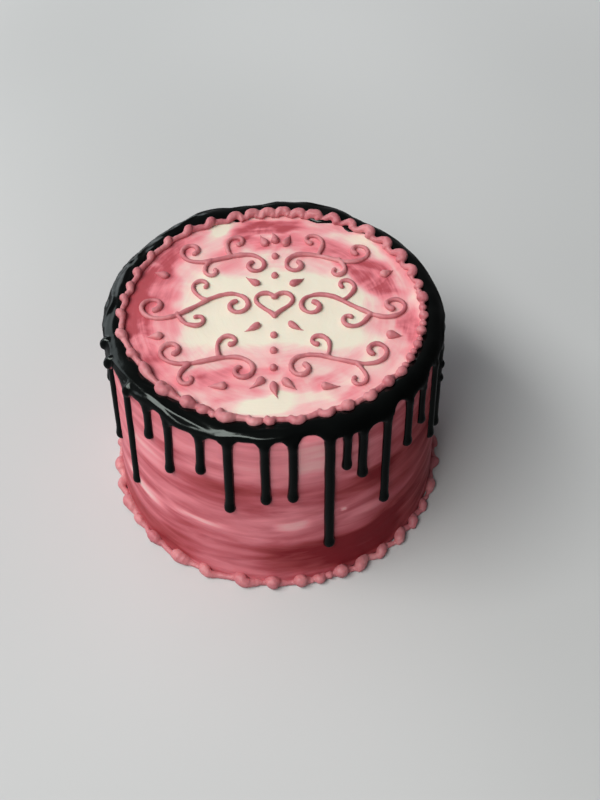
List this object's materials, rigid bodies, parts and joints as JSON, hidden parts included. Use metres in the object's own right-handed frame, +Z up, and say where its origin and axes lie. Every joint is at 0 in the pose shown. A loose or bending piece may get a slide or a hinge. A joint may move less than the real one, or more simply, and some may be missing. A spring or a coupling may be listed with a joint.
{
  "type": "drip cake",
  "caption": "Round frosted drip cake, whole and uncut, with a poured dark glaze collar and drips, piped bead borders at the top and the foot, and piped scrolls on the top.",
  "frame": {"origin": "middle of the flat underside", "axes": "+Z up through the cake, -Y towards the front, +X to the right seen from the front"},
  "size_m": [0.1772, 0.1771, 0.1172],
  "materials": {
    "frosting": "smooth buttercream frosting, marbled cream and dusty rose, satin",
    "glaze": "black poured glaze, glossy",
    "piping": "piped buttercream, dusty rose, satin"
  },
  "bodies": {
    "root": {"cake": "frosting", "drip_glaze": "glaze", "top_border": "piping", "base_border": "piping"}
  },
  "joints": []
}
